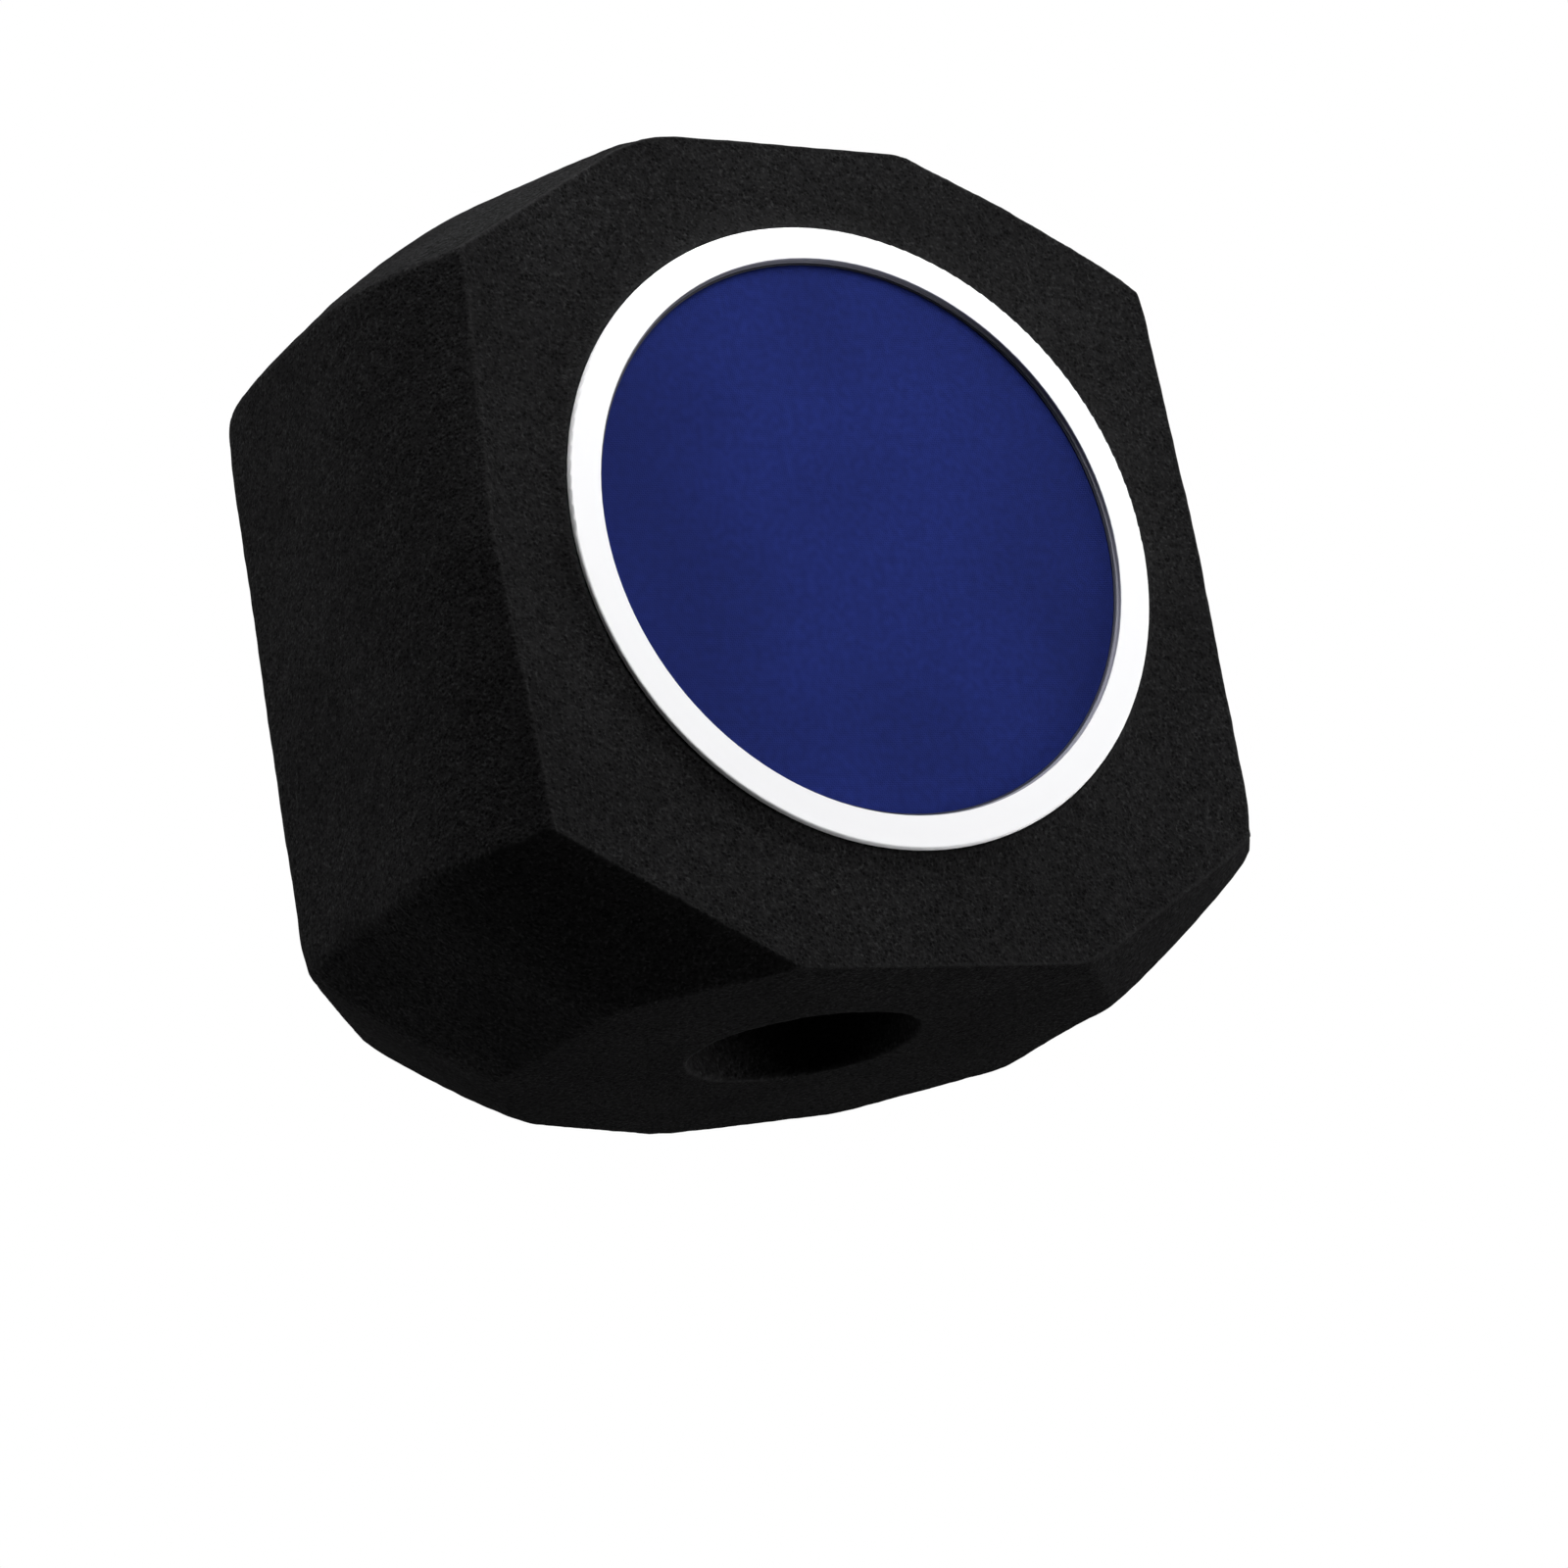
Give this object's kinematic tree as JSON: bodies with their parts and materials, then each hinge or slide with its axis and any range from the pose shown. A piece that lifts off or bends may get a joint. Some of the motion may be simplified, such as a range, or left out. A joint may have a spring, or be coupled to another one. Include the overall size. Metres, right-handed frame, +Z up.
{
  "type": "pop filter",
  "caption": "Foam microphone shell with a flat octagonal front, a round plug-in mesh pop screen and a microphone hole in its underside.",
  "frame": {"origin": "centre of the microphone hole, on the shell's flat underside", "axes": "+Z up along the microphone's axis, -Y towards the front, where the screen is, +X to the shell's left side as seen from behind the screen looking out"},
  "size_m": [0.213, 0.1765, 0.199],
  "materials": {
    "foam": "matte",
    "white_plastic": "satin",
    "blue_mesh": "matte",
    "dark_mesh": "matte",
    "frame_plastic": "satin",
    "hoop": "satin",
    "liner": "satin"
  },
  "bodies": {
    "shell": {"foam_body": "foam", "socket_sleeve": "liner"},
    "screen": {"screen_frame": "frame_plastic", "face_ring": "white_plastic", "front_hoop": "hoop", "front_mesh": "blue_mesh", "spacer_ring": "liner", "rear_mesh": "dark_mesh", "retaining_ring": "liner"}
  },
  "joints": [
    {"name": "screen_pull", "type": "slide", "parent": "shell", "child": "screen", "axis": [0, -1, 0], "range_m": [0, 0.04]}
  ]
}
